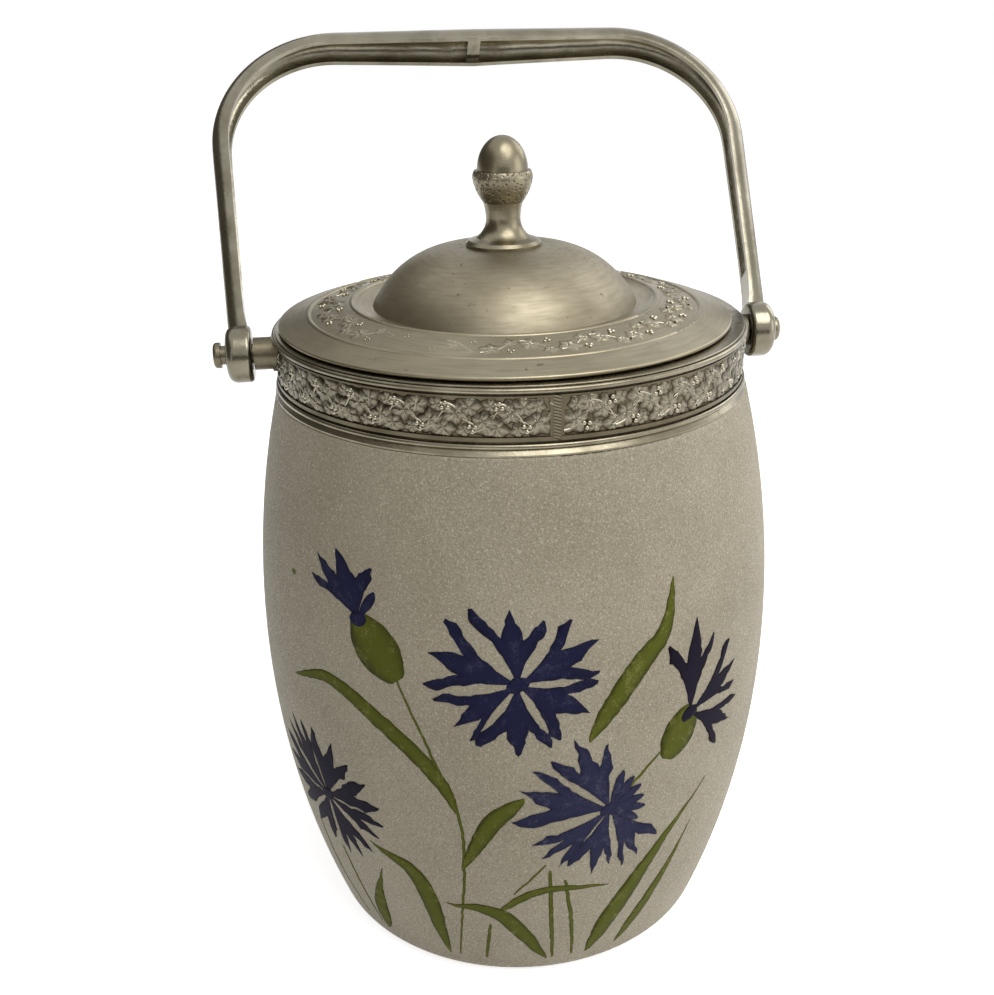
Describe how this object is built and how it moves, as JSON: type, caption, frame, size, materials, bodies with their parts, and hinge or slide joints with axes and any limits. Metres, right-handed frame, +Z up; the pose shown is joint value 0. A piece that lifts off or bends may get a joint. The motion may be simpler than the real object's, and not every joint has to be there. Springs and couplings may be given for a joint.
{
  "type": "biscuit jar",
  "caption": "Barrel-shaped frosted glass biscuit jar with a painted spray of cornflowers, a leaf-patterned metal collar, a domed lift-off lid with an acorn finial and a swinging bail handle.",
  "frame": {"origin": "centre of the jar's flat resting face", "axes": "+Z up the jar's axis; X along the handle's pivot line; -Y is the front, within a few degrees of the collar's frieze cover; the handle rests leaning back towards +Y"},
  "size_m": [0.1371, 0.13, 0.2202],
  "materials": {
    "frosted_glass": "frosted, sparkling sanded grain",
    "pewter": "aged satin pewter with dark patina in the recesses",
    "solder": "dull solder",
    "steel": "plain threaded rod",
    "brass": "dull brass",
    "plaster": "matte plaster of Paris",
    "blue_enamel": "fired blue enamel paint",
    "green_enamel": "fired olive green enamel paint"
  },
  "bodies": {
    "jar": {"glass_jar": "frosted_glass", "plaster_bedding": "plaster", "collar_band": "pewter", "collar_rim_wire": "pewter", "collar_upper_bead": "pewter", "collar_lower_bead": "pewter", "frieze_strip_right": "pewter", "frieze_strip_left": "pewter", "frieze_cover_front": "pewter", "frieze_cover_rear": "pewter", "lug_right": "pewter", "lug_left": "pewter", "pivot_pin_right": "pewter", "pivot_pin_left": "pewter"},
    "handle": {"handle_half_right": "pewter", "handle_half_left": "pewter", "handle_bridge": "solder"},
    "lid": {"lid_flange": "pewter", "lid_dome": "pewter", "lid_skirt": "pewter", "finial_stem": "pewter", "acorn_cup": "pewter", "acorn_nut": "pewter", "finial_stud": "steel", "finial_washer": "brass", "finial_nut": "brass"}
  },
  "joints": [
    {"name": "handle_hinge", "type": "hinge", "parent": "jar", "child": "handle", "pos_m": [-0.0013, 0, 0.1528], "axis": [1, 0, 0], "range_deg": [-80, 163]},
    {"name": "lid_lift", "type": "slide", "parent": "jar", "child": "lid", "axis": [0, 0, 1], "range_m": [0, 0.04]}
  ]
}
